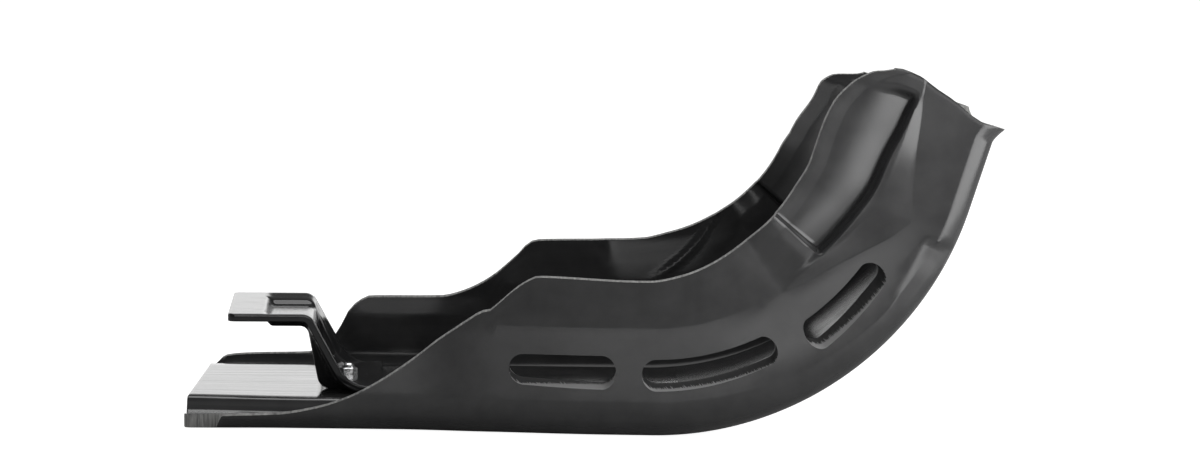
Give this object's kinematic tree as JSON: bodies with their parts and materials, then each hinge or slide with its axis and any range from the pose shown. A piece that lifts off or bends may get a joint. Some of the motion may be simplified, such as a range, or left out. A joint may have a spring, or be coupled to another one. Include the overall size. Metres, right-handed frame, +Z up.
{
  "type": "motorcycle skid plate",
  "caption": "Deep formed plastic skid plate for an enduro motorcycle, with an upturned nose, slotted side walls and a bolted rear hook.",
  "frame": {"origin": "middle of the length and width of the tray, on the plane that its underside rests on", "axes": "+X from the rear edge towards the nose, +Y across towards the wall with the long shelf, +Z up"},
  "size_m": [0.498, 0.2594, 0.2266],
  "materials": {
    "tray_plastic": "satin black, with light milled edges",
    "hook_plastic": "satin black",
    "zinc": "bright zinc plated"
  },
  "bodies": {
    "root": {"skid_plate": "tray_plastic", "rear_hook": "hook_plastic", "hook_bolt": "zinc", "hook_nut": "zinc"}
  },
  "joints": []
}
